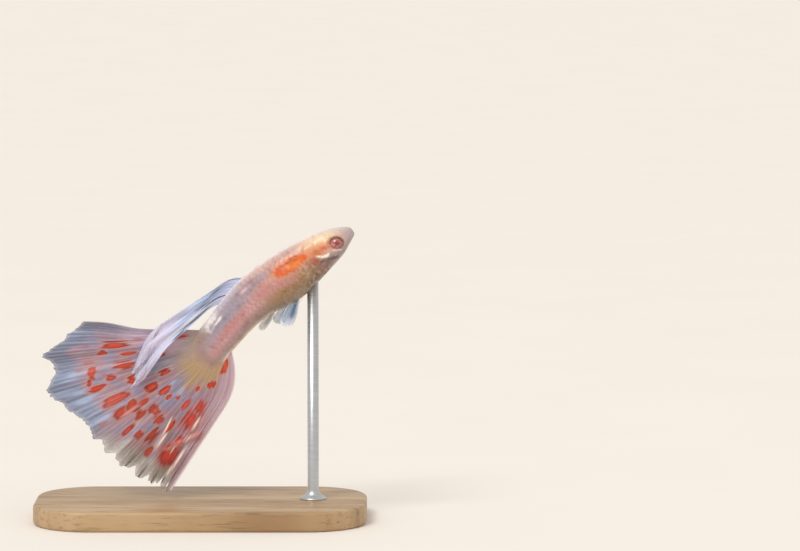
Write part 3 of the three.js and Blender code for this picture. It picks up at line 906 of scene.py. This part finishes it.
# marks on the tail, seen from the side: how far forward of the base's centre, height, length, width,
# turn from the rays
tailMarks = [
    marks("#858ba8", 0.8, 0.8, 0.8, [
        (-6.0, 23.7, 4.5, 2.0), (-4.2, 20.2, 4.5, 1.6), (-8.6, 20.0, 3.0, 1.4), (-5.5, 17.4, 3.0, 1.2),
        (-9.0, 24.4, 2.4, 0.8), (-2.4, 16.4, 2.4, 0.9),
    ]),
    marks("#cdb4c8", 0.85, 0.8, 0.5, [(-7.4, 27.4, 7.0, 2.4), (-5.0, 26.0, 5.0, 1.8)]),
    marks("#b48f95", 0.7, 0.8, 0.8, [
        (-12.3, 14.8, 5.0, 2.0), (-16.5, 23.5, 4.0, 1.6), (0.2, 12.6, 5.0, 2.0), (-1.0, 9.0, 6.0, 1.8),
    ]),
    marks("#c8b6ae", 0.7, 0.8, 1.2, [
        (-4.9, 23.9, 2.8, 0.6), (-5.2, 22.9, 2.6, 0.4), (-6.4, 11.4, 3.0, 0.5), (-9.6, 14.4, 2.4, 0.4),
    ]),
    marks("#b4503c", 0.55, 0.5, 1.2, [
        (-9.3, 27.2, 1.3, 0.6), (-18.1, 22.3, 1.1, 0.6), (-16.8, 23.7, 1.5, 0.5), (-17.2, 26.3, 1.6, 0.5),
        (-14.4, 22.0, 0.9, 0.6), (-0.2, 12.5, 1.6, 0.7), (-5.6, 10.8, 1.4, 0.7), (-12.5, 23.9, 1.0, 0.4),
        (-8.0, 19.0, 1.2, 0.5), (-14.6, 14.6, 1.2, 0.6),
    ]),
    marks("#d03c10", 1.0, 0.22, 1.3, [
        (-13.0, 26.4, 3.9, 0.85), (-14.7, 25.3, 1.5, 0.75), (-10.8, 25.2, 1.9, 0.55),
        (-11.1, 23.3, 3.1, 1.0), (-16.3, 21.9, 1.9, 1.0, 70), (-13.4, 21.5, 1.9, 0.85),
        (-15.5, 19.8, 2.6, 0.8), (-9.9, 21.2, 1.8, 1.3), (-7.2, 20.1, 2.1, 1.2), (-5.2, 19.6, 2.0, 0.8),
        (-4.7, 18.6, 1.0, 0.6), (-5.25, 22.3, 1.9, 0.8), (-6.0, 24.9, 1.3, 0.65),
        (1.65, 20.4, 1.2, 0.8, -34), (-0.45, 19.9, 0.8, 0.6), (-3.3, 18.6, 0.9, 0.5),
        (-4.35, 14.2, 2.0, 0.7), (-16.6, 20.6, 0.9, 0.7, 40),
    ], halo="#cd9a93", edge="#701a06"),
    marks("#c23d1e", 0.95, 0.25, 1.5, [
        (-12.8, 18.3, 3.3, 1.3), (-11.2, 16.6, 2.6, 1.1), (-10.2, 17.6, 1.6, 1.0, 30),
        (-9.2, 16.2, 2.3, 1.2), (-8.4, 17.8, 1.2, 0.6), (-6.6, 16.4, 1.5, 1.7), (-6.2, 15.2, 1.6, 1.2),
        (-10.9, 13.4, 2.5, 0.9), (-9.1, 12.8, 1.3, 0.9), (-7.1, 12.9, 2.9, 1.0), (-7.9, 10.3, 1.5, 0.7),
    ], halo="#c48f88", edge="#74220a"),
    marks("#da4630", 0.95, 0.35, 1.3, [
        (-1.4, 15.2, 3.6, 2.0, 6), (-0.1, 17.0, 2.4, 1.3, 10), (-4.6, 9.8, 3.2, 1.9),
        (-2.2, 17.4, 1.8, 0.8), (-3.3, 11.6, 2.2, 0.9),
    ], halo="#c88686", edge="#8c1f1c"),
    marks("#d7501c", 1.0, 0.2, 0.6, [(3.75, 23.1, 2.6, 0.75, -14)], halo="#cf9488", edge="#8e2c10"),
    marks("#b02c2c", 0.95, 0.4, 0.8, [(-3.4, 27.6, 3.2, 0.55, 8)], halo="#c57d80"),
    marks("#b3c7e6", 0.55, 0.8, 2.6, [
        (-19.0, 25.9, 3.0, 0.6), (-18.2, 25.1, 2.4, 0.4), (-18.6, 24.3, 2.0, 0.25),
        (-19.6, 21.0, 2.6, 0.5), (-18.6, 22.0, 2.0, 0.3), (-17.2, 17.9, 2.0, 0.6),
        (-14.4, 15.3, 1.4, 0.4), (-2.9, 19.2, 1.2, 0.5), (-4.1, 20.8, 1.0, 0.3), (-17.9, 19.2, 1.6, 0.3),
    ]),
    marks("#e79c9b", 0.85, 0.6, 0.9, [
        (-2.0, 12.2, 3.6, 0.5, -32), (-4.0, 11.0, 2.6, 0.4, -38), (-10.4, 16.5, 2.4, 0.28),
    ]),
    # painted highlights along the ridges of the tail's folds
    marks("#fff0dd", 0.95, 0.6, 1.0, [
        (-4.7, 14.6, 2.4, 0.24, 14), (-5.6, 12.2, 2.6, 0.22, 2), (-0.7, 14.4, 2.0, 0.34, 4),
        (-1.9, 12.2, 1.6, 0.22, -4), (-3.4, 9.0, 3.4, 0.34), (-4.8, 7.3, 2.0, 0.4),
        (-4.2, 10.6, 1.2, 0.16),
    ]),
]

# two tones are the ends of a blend; two numbers are where something starts and is complete, and two more
# are where it begins to end and has ended
tailLook = {
    "membrane": ("#a07b86", "#c2a7b2"),
    "pink": "#b3868a",
    "cloud": "#8087a8",
    "streak": "#8d8fab",
    "cloudsEnd": (0.6, 0.85),
    "edgeWidth": 4.8,
    "edgeNarrows": 1.6,
    "blueEdge": ("#5f7694", "#90a5c8"),
    "blueTop": (0.03, 0.1),
    "blueEnds": (0.44, 0.54),
    "paleEdge": ("#aaa49c", "#cac5bd"),
    "paleAcross": (0.42, 0.54, 0.9, 0.97),
    "ray": "#d3bdc3",
    "rayShare": 0.26,
    "rayTip": "#433f3e",
    "rayTipLength": (1.0, 3.2),
    "rayTipsAcross": (0.55, 0.64, 0.95, 0.99),
    # a painted highlight rim along the fin's upper and lower edges
    "margin": "#f3e4e2",
    "fanRoot": "#a88880",
    "fanLower": "#b8996a",
    "fanUpper": "#b7aaa2",
    "fanLines": ("#8d7452", "#8f8580"),
    "fanReach": 5.2,
}


# the fan round the tail's root: mauve at the body, then ochre, greyer towards the back, with dark lines
def fanPaint(u, fromRoot):
    look = tailLook
    upper = until(u, 0.2, 0.5)
    fan = tint(look["fanLower"], look["fanUpper"], 0.8 * upper)
    fan = tint(look["fanRoot"], fan, between(fromRoot, -1.0, 1.4))
    lines = raysAt(u, 0.0, tail["rays"] * 1.5, []) * (0.65 + 0.3 * wander(u * 40, 0, 2))
    dark = tint(*look["fanLines"], upper)
    return tint(fan, dark, 0.7 * lines * between(fromRoot, 0.4, 2.8))


def tailPaint(u, v, point, pitch, length):
    look = tailLook
    fromEdge, fromRoot = (1 - v) * length, v * length
    seenHeight = point.z + point.y * tail["sideTilt"]
    drift = wander(u * 34, v * 3.0, 1.0)
    streak = wander(u * 90, v * 2.0, 7.0)
    cloud = wander(point.x * 0.4, seenHeight * 0.4, 5.0)
    ray = raysAt(u, v, tail["rays"], tail["splits"])
    clouded = until(u, *look["cloudsEnd"])
    paint = tint(*look["membrane"], between(u, 0.72, 0.95))
    paint = tint(paint, look["pink"], 0.6 * between(drift, -0.1, 0.5))
    paint = tint(paint, look["cloud"], 0.65 * between(cloud, -0.15, 0.35) * clouded)
    paint = tint(paint, look["streak"], 0.5 * between(streak, 0.05, 0.6) * clouded)

    outer = look["edgeWidth"] - look["edgeNarrows"] * between(u, 0.3, 0.5) + 1.8 * drift + streak
    blueEdge = until(fromEdge, outer - 1.6, outer + 0.8) * until(u, *look["blueEnds"])
    blueTop = until(u + 0.03 * streak, *look["blueTop"]) * between(v, 0.2, 0.5)
    bluish = tint(*look["blueEdge"], between(streak + 0.6 * drift, -0.2, 0.7))
    paint = tint(paint, bluish, 0.9 * max(blueEdge, 0.85 * blueTop))
    paleEdge = until(fromEdge, outer - 1.2, outer + 0.7) * within(u, *look["paleAcross"])
    paint = tint(paint, tint(*look["paleEdge"], between(streak, -0.1, 0.5)), 0.9 * paleEdge)

    paint = tint(paint, look["ray"], look["rayShare"] * ray * (1 - paleEdge))
    rayTip = until(fromEdge, *look["rayTipLength"]) * within(u, *look["rayTipsAcross"])
    rayTip *= raysAt(u, v, tail["rays"] * 0.8, []) ** 2
    paint = tint(paint, look["rayTip"], 0.95 * rayTip)

    fan = look["fanReach"] - 3.4 * abs(u - 0.52) - 4.2 * between(u, 0.72, 0.92) + 2.0 * streak + 1.4 * drift
    paint = tint(paint, fanPaint(u, fromRoot), 0.9 * until(fromRoot, fan - 3.2, fan + 0.9))
    paint = layMarks(paint, tailMarks, point.x, seenHeight, pitch, 0.45 * drift + 0.5 * streak)
    # the painted highlight rim along the fin's lower and upper edges
    paint = tint(paint, look["margin"], 0.8 * max(between(u, 0.975, 0.994), between(u, 0.01, 0.0)))

    clear = 0.1 * blueEdge + 0.4 * paleEdge * until(fromEdge, 0, outer)
    tipClear = (0.45 - 0.25 * between(u, 0.4, 0.5)) * until(fromEdge, 0, 1) * (1 - 0.6 * ray)
    return (*paint, max(0.98 - clear - tipClear, 0.9 * rayTip))


# the dorsal fin: a long pennant past the near side of the tail

dorsal = {
    "columns": 120,
    "rows": 120,
    "rays": 8,
    "splits": [(0.3, 0.7, 0.22)],
    "membrane": 0.07,
    "ridge": 0.05,
    "thinning": 0.5,
    "front": 16.5,
    "back": 21.4,
    "sunk": 0.7,
    "leaves": [(0, -12), (0.5, 4), (1, 10)],
    "arrives": [(0, 33), (0.5, 37), (1, 41.5)],
    "droop": [(0, 36), (1, 14)],
    "droopAt": [(0, 0.7), (0.5, 0.66), (1, 0.56)],
    "droopOver": 0.2,
    "reach": [(0, 20.4), (0.14, 21.6), (0.26, 19.8), (0.4, 21.4), (0.52, 19.6), (0.62, 20.4), (0.74, 18.8),
              (0.86, 20.2), (1, 17.6)],
    "notch": 1.1,
    "fringe": 0.3,
    "turn": 0.22,
    "clear": 2.3,
    "clearBy": 0.42,
    "sweep": 1.6,
    "ruffle": 0.22,
    "ruffles": (2.1, 1.1),
    "membraneTones": ("#c8d3f6", "#e3e7ff"),
    "outerTone": "#efe2fa",
    "leadingTone": "#ffffff",
    "opaque": 0.97,
    "tipClear": 0.7,
    "tipFrom": (0.68, 0.94),
}


@lru_cache(maxsize=None)
def dorsalRay(i):
    u = i / dorsal["columns"]
    start = skinPoint(blend(dorsal["front"], dorsal["back"], u), 0, -dorsal["sunk"])
    notch = dorsal["notch"] * (1 - raysAt(u, 1.0, dorsal["rays"], dorsal["splits"]))
    length = readAlong(dorsal["reach"], u) - notch + dorsal["fringe"] * wander(u * 22, 0, 9)
    leaves, arrives = readAlong(dorsal["leaves"], u), readAlong(dorsal["arrives"], u)
    droop = (readAlong(dorsal["droop"], u), readAlong(dorsal["droopAt"], u), dorsal["droopOver"])
    path = traceRay(start, leaves, arrives, length, dorsal["turn"], dorsal["rows"], droop)
    return start.y, length, path


def dorsalPlace(i, j):
    u, v = i / dorsal["columns"], j / dorsal["rows"]
    y, length, path = dorsalRay(i)
    x, z, pitch = path[j]
    y -= dorsal["clear"] * ease(v / dorsal["clearBy"]) + dorsal["sweep"] * max(v - dorsal["clearBy"], 0)
    phase = dorsal["ruffles"][0] * u + dorsal["ruffles"][1] * v
    y += dorsal["ruffle"] * between(v, 0.1, 0.4) * math.sin(math.tau * phase)
    return Vector((x, y, z)), pitch, length


# along the pennant: distance from its root, place across it from its leading edge, length, width
dorsalMarks = [
    marks("#9dadd2", 0.55, 0.6, 1.0, [
        (4.0, 0.24, 4.5, 0.2), (7.6, 0.5, 5.0, 0.16), (11.0, 0.3, 3.5, 0.18),
    ]),
    marks("#b3d3ec", 0.85, 0.6, 1.0, [(4.6, 0.36, 3.6, 0.14), (6.6, 0.2, 3.0, 0.12)]),
    marks("#55658a", 0.75, 0.5, 1.2, [(4.4, 0.22, 2.2, 0.07), (5.6, 0.3, 1.4, 0.06)]),
    marks("#4e5166", 0.95, 0.4, 0.8, [
        (3.6, 0.07, 6.6, 0.04), (2.6, 0.66, 4.4, 0.05), (5.2, 0.9, 5.0, 0.08), (8.4, 0.96, 2.6, 0.06),
        (5.6, 0.5, 2.6, 0.03),
    ]),
    marks("#e7dbf5", 0.85, 0.8, 0.6, [(15.5, 0.45, 7.0, 0.9), (20.0, 0.5, 8.0, 1.2)]),
    marks("#b9b8d8", 0.5, 0.7, 1.2, [
        (12.6, 0.16, 5.0, 0.12), (15.6, 0.78, 4.6, 0.1), (14.0, 0.5, 4.0, 0.08),
    ]),
    marks("#fffafc", 0.9, 0.6, 0.8, [
        (19.0, 0.44, 8.0, 0.09), (18.0, 0.72, 6.0, 0.08), (9.0, 0.74, 7.0, 0.14), (9.6, 0.38, 3.0, 0.07),
        (16.5, 0.9, 5.0, 0.08), (17.0, 0.2, 6.0, 0.08),
    ]),
]


def dorsalPaint(u, v, point, pitch, length):
    streak = wander(u * 16, v * 3.0, 4.0)
    ray = raysAt(u, v, dorsal["rays"], dorsal["splits"])
    paint = tint(*dorsal["membraneTones"], between(streak, -0.3, 0.5))
    paint = layMarks(paint, dorsalMarks, v * length, u, 0.0, 0.6 * streak)
    paint = tint(paint, dorsal["leadingTone"], 0.9 * between(u, 0.04, 0.0))
    paint = tint(paint, dorsal["outerTone"], 0.5 * between(v, 0.5, 0.7))
    clear = dorsal["tipClear"] * between(v, *dorsal["tipFrom"]) * (1 - ray)
    return (*paint, dorsal["opaque"] - clear + 0.06 * streak)


# the small fins, each with its root on the body

# s is millimetres from the snout, and angle is degrees from the back
smallFins = {
    "pelvic": {"s": 12.7, "angle": 166, "chord": 1.5, "length": 4.3, "spread": 0.8, "pitch": 69,
               "splay": 0.2, "trail": 0.6, "opaque": 0.95,
               "centre": "#4d6788", "around": "#b4c3d8", "edge": "#eef2f8"},
    "anal": {"s": 16.6, "angle": 180, "chord": 0.9, "length": 3.5, "spread": 0.5, "pitch": 56,
             "splay": 0.0, "trail": 0.0, "opaque": 0.75,
             "centre": "#a09d99", "around": "#a09d99", "edge": "#f2efec"},
    "pectoral": {"s": 9.9, "angle": 118, "chord": 1.5, "length": 4.0, "spread": 1.3, "pitch": 62,
                 "splay": 0.5, "trail": 0.0, "opaque": 0.13,
                 "centre": "#a48e78", "around": "#a48e78", "edge": "#b3a08c"},
}
smallFinMake = {
    "columns": 90,
    "rows": 50,
    "rays": 7,
    "splits": [(0.45, 0.85, 0.22)],
    "membrane": 0.06,
    "ridge": 0.03,
    "thinning": 0.5,
    "sunk": 0.6,
    "fan": 34.0,
    "longest": 0.42,
    "rounding": 0.9,
    "corners": 0.25,
    "scallop": 0.015,
    "cupping": 0.12,
    "ripple": 0.04,
    "ripples": 2.5,
    "trailPitch": 20.0,
}


def makeSmallFin(kind, side, name, node):
    fin = smallFins[kind]
    make = smallFinMake

    def placeAt(i, j):
        u, v = i / make["columns"], j / make["rows"]
        later = fin["trail"] if side > 0 else 0.0
        start = skinPoint(fin["s"] + later + (u - 0.5) * fin["chord"], side * fin["angle"], -make["sunk"])
        turn = (0.5 - u) * make["fan"] * fin["spread"] - make["trailPitch"] * later
        pitch = math.radians(fin["pitch"] + turn)
        corner = make["corners"] * between(abs(2 * u - 1), 0.7, 1.0)
        rounded = 1 - make["rounding"] * (u - make["longest"]) ** 2 - corner
        scallop = make["scallop"] * math.cos(math.tau * make["rays"] * u)
        length = (fin["length"] + make["sunk"]) * (rounded - scallop)
        point = start + Vector((-math.cos(pitch) * length * v, 0, -math.sin(pitch) * length * v))
        point.y += side * (fin["splay"] * length * v + make["cupping"] * math.sin(math.pi * v))
        point.y += make["ripple"] * v * math.sin(math.tau * make["ripples"] * u)
        return point, pitch, length

    def paintAt(u, v, point, pitch, length):
        middle = bump(u - 0.34, 0.2) * until(v, 0.6, 0.88)
        rim = max(between(abs(2 * u - 1), 0.74, 0.94), between(v, 0.88, 0.97))
        paint = tint(tint(fin["around"], fin["centre"], middle), fin["edge"], 0.95 * rim)
        return (*paint, fin["opaque"] * (0.5 + 0.5 * max(rim, middle)))

    makeFin(name, make, placeAt, paintAt, smallFinMaterial, node)


# the stand

stand = {
    "length": 50.0,
    "width": 26.0,
    "height": 3.0,
    "corner": 9.0,
    "bevel": 0.5,
    "rodAt": 9.9,
    "rodRadius": 0.85,
    "rodInside": 1.2,
    "rodSunk": 0.05,
    "footRadius": 2.0,
    "footHeight": 0.9,
    "footChamfer": 0.12,
}


def roundEdges(bm, edges, offset, segments):
    bmesh.ops.bevel(bm, geom=edges, offset=offset, offset_type="OFFSET", segments=segments,
                    profile=0.5, affect="EDGES", material=-1)


def makeBoard():
    bm = bmesh.new()
    bmesh.ops.create_cube(bm, size=1.0)
    bmesh.ops.scale(bm, vec=(stand["length"], stand["width"], stand["height"]), verts=bm.verts)
    bmesh.ops.translate(bm, vec=(0, 0, stand["height"] / 2), verts=bm.verts)
    roundEdges(bm, [e for e in bm.edges if abs(e.verts[0].co.z - e.verts[1].co.z) > 1], stand["corner"], 20)
    flat = [f for f in bm.faces if abs(f.normal.z) > 0.9]
    roundEdges(bm, [e for f in flat for e in f.edges], stand["bevel"], 4)
    board = newPiece("standBoard", bm, woodMaterial())
    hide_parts("stand_base")


def makePost():
    chest = skinPoint(stand["rodAt"], 180)
    radius, foot, rise = stand["rodRadius"], stand["footRadius"], stand["footHeight"]
    low, high = stand["height"] - stand["rodSunk"], chest.z + stand["rodInside"]
    chamfer = foot - stand["footChamfer"]
    # radius and height, from the foot's underside to the rod's hidden top
    profile = [(0, low), (foot, low), (foot, low + rise * 0.28), (chamfer, low + rise * 0.4),
               (radius * 1.5, low + rise * 0.75), (radius * 1.12, low + rise * 1.25),
               (radius, low + rise * 1.8), (radius, high), (0, high)]
    bm = bmesh.new()
    verts = [bm.verts.new((x, 0, z)) for x, z in profile]
    edges = [bm.edges.new(pair) for pair in zip(verts, verts[1:])]
    bmesh.ops.spin(bm, geom=verts + edges, cent=(0, 0, 0), axis=(0, 0, 1), angle=math.tau, steps=64,
                   use_merge=True)
    bmesh.ops.remove_doubles(bm, verts=bm.verts, dist=1e-4)
    bmesh.ops.translate(bm, vec=(chest.x, chest.y, 0), verts=bm.verts)
    post = newPiece("standPost", bm, steelMaterial())
    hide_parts("stand_rod")


def woodMaterial():
    n = Nodes("satin oak")
    x, y, z = n.apart(n.place())
    rings = n.noise(n.stretch(n.times(x, 22.0), n.times(y, 150.0), z), 1.0, 4.0, 0.6)
    pores = n.noise(n.stretch(n.times(x, 60.0), n.times(y, 700.0), n.times(z, 700.0)), 2.6, 5.0, 0.65)
    base = n.mix(n.mask(rings, 0.3, 0.7), "#c5a57c", "#9d7a52")
    base = n.mix(n.mask(pores, 0.5, 0.75, 0.0, 0.55), base, "#6e5033", "MULTIPLY")
    return n.finish(
        Base_Color=base,
        Roughness=n.mask(pores, 0.3, 0.7, 0.38, 0.55),
        Normal=n.bump(pores, 0.00005, 0.5),
        Coat_Weight=0.15,
        Coat_Roughness=0.25,
    )


def steelMaterial():
    n = Nodes("brushed steel")
    x, y, z = n.apart(n.place())
    lines = n.noise(n.stretch(n.times(x, 300.0), n.times(y, 300.0), n.times(z, 9000.0)), 1.0, 3.0, 0.6)
    return n.finish(
        Base_Color=n.mix(n.mask(lines, 0.35, 0.65), "#c2c4c6", "#d2d3d4"),
        Metallic=1.0,
        Roughness=n.mask(lines, 0.3, 0.7, 0.3, 0.38),
        Normal=n.bump(lines, 0.000002, 0.3),
    )


# making everything

makeSkin()
eyeMaterial = makeEyeMaterial()
makeEye(1, "eyeLeft", "eye_left")
makeEye(-1, "eyeRight", "eye_right")
tailMaterial = finMaterial("spotted tail membrane", "#c7a3a6", 0.05, 0.86)
makeFin("tailFin", tail, tailPlace, tailPaint, tailMaterial, "caudal_fin")
dorsalMaterial = finMaterial("pale dorsal membrane", "#e6e9fb", 0.25, 0.88)
makeFin("dorsalFin", dorsal, dorsalPlace, dorsalPaint, dorsalMaterial, "dorsal_fin")
smallFinMaterial = finMaterial("clear small-fin membrane", "#c9cdd2", 0.25, 0.93, 40.0)
makeSmallFin("anal", 1, "analFin", "anal_fin")
for sideName, side in (("Left", 1), ("Right", -1)):
    makeSmallFin("pelvic", side, "pelvicFin" + sideName, "pelvic_fin_" + sideName.lower())
    makeSmallFin("pectoral", side, "pectoralFin" + sideName, "pectoral_fin_" + sideName.lower())
makeBoard()
makePost()
print("fish and stand made")


# floor, light and camera

studio = {
    "floorSize": 14.0,
    "floor": ("#f5eee5", "#efe6db"),
    "world": "#fdfbf7",
    "worldStrength": 0.72,
    "sunStrength": 1.2,
    "sunFrom": (-0.42, -0.62, 0.95),
    "sunSoftness": 26.0,
    "softboxFrom": (-0.2, -0.4, 0.42),
    "softboxAim": (0, 0, 0.025),
    "softboxSize": 0.12,
    "softboxPower": 0.22,
}
view = {"centre": (30.0, 0.0, 36.9), "width": 120.0, "distance": 650.0, "elevation": 6.0, "sensor": 36.0}


def makeFloor():
    bm = bmesh.new()
    bmesh.ops.create_grid(bm, x_segments=4, y_segments=4, size=studio["floorSize"] / 2)
    mesh = bpy.data.meshes.new("studioFloor")
    bm.to_mesh(mesh)
    bm.free()
    floor = addToScene("studioFloor", mesh)
    n = Nodes("plain pale floor")
    shade = n.mask(n.noise(n.place(), 30.0, 2.0, 0.5), 0.3, 0.7, 0.0, 0.15)
    mesh.materials.append(n.finish(Base_Color=n.mix(shade, *studio["floor"]), Roughness=0.9))


def makeLights():
    sun = bpy.data.lights.new("studioSun", "SUN")
    sun.energy = studio["sunStrength"]
    sun.angle = math.radians(studio["sunSoftness"])
    sunObject = addToScene("studioSun", sun)
    sunObject.rotation_euler = Vector(studio["sunFrom"]).to_track_quat("Z", "Y").to_euler()
    box = bpy.data.lights.new("softbox", "AREA")
    box.energy = studio["softboxPower"]
    box.size = studio["softboxSize"]
    boxObject = addToScene("softbox", box)
    boxObject.location = studio["softboxFrom"]
    away = Vector(studio["softboxFrom"]) - Vector(studio["softboxAim"])
    boxObject.rotation_euler = away.to_track_quat("Z", "Y").to_euler()
    world = bpy.data.worlds.new("studioWorld")
    world.use_nodes = True
    background = world.node_tree.nodes["Background"]
    background.inputs["Color"].default_value = (*colour(studio["world"]), 1)
    background.inputs["Strength"].default_value = studio["worldStrength"]
    bpy.context.scene.world = world


def makeCamera():
    camera = bpy.data.cameras.new("photoCamera")
    camera.sensor_width = view["sensor"]
    camera.lens = view["sensor"] * view["distance"] / view["width"]
    camera.clip_end = 30.0
    cameraObject = addToScene("photoCamera", camera)
    rise = math.radians(view["elevation"])
    back = Vector((0, -math.cos(rise), math.sin(rise)))
    cameraObject.location = (Vector(view["centre"]) + back * view["distance"]) * mm
    cameraObject.rotation_euler = back.to_track_quat("Z", "Y").to_euler()
    bpy.context.scene.camera = cameraObject


makeFloor()
makeLights()
makeCamera()
bpy.context.scene.view_settings.view_transform = "Standard"
print("studio made")
